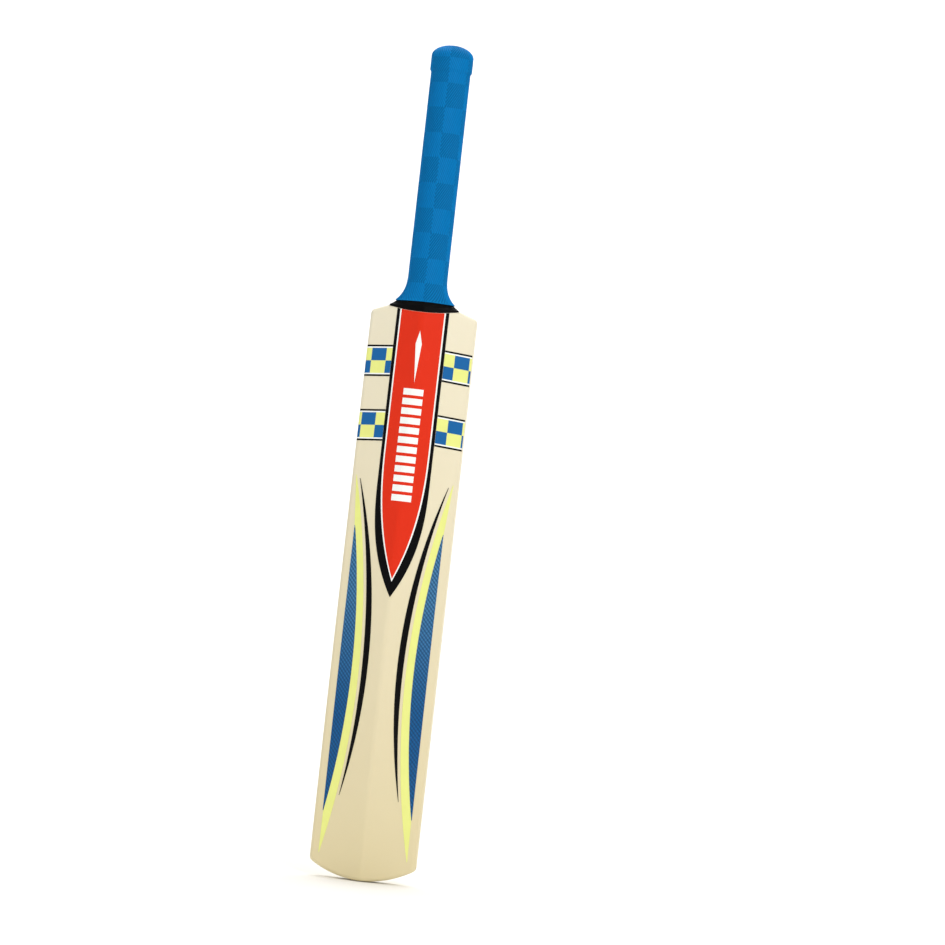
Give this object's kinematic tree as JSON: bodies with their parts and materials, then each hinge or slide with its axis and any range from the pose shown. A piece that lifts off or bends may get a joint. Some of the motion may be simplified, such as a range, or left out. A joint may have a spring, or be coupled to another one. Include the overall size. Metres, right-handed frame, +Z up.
{
  "type": "junior cricket bat",
  "caption": "Junior cricket bat: hollow moulded blade with a ridged back and round handle, ribbed rubber grip, taped collar and printed film graphics.",
  "frame": {"origin": "on the handle's axis, half way down the grip, where the hands hold the bat", "axes": "+Z up the handle away from the blade, +Y out of the flat striking face, +X across the blade, so the printed back faces -Y"},
  "size_m": [0.09, 0.0354, 0.705],
  "materials": {
    "moulded_hdpe": "cream blow-moulded HDPE, satin",
    "beech_dowel": "turned beech, unfinished",
    "moulded_plug": "dark moulded polypropylene",
    "grip_rubber": "blue moulded rubber with a chequer of fine ribs",
    "collar_pvc": "black wound PVC tape",
    "film_red": "printed vinyl film: red panel, white keyline, black border",
    "film_check": "printed vinyl film: blue and yellow checks between black lines",
    "film_blue": "printed vinyl film, blue with a fine woven hatch",
    "film_yellow": "printed vinyl film, pale yellow",
    "film_black": "printed vinyl film, black"
  },
  "bodies": {
    "root": {"blade_body": "moulded_hdpe", "handle_stiffener": "beech_dowel", "handle_end_plug": "moulded_plug", "grip": "grip_rubber", "collar_tape": "collar_pvc", "spine_film": "film_red", "check_film_upper_left": "film_check", "check_film_upper_right": "film_check", "check_film_lower_left": "film_check", "check_film_lower_right": "film_check", "blue_flash_left": "film_blue", "blue_flash_right": "film_blue", "yellow_flash_left": "film_yellow", "yellow_flash_right": "film_yellow", "black_flash_left": "film_black", "black_flash_right": "film_black"}
  },
  "joints": []
}
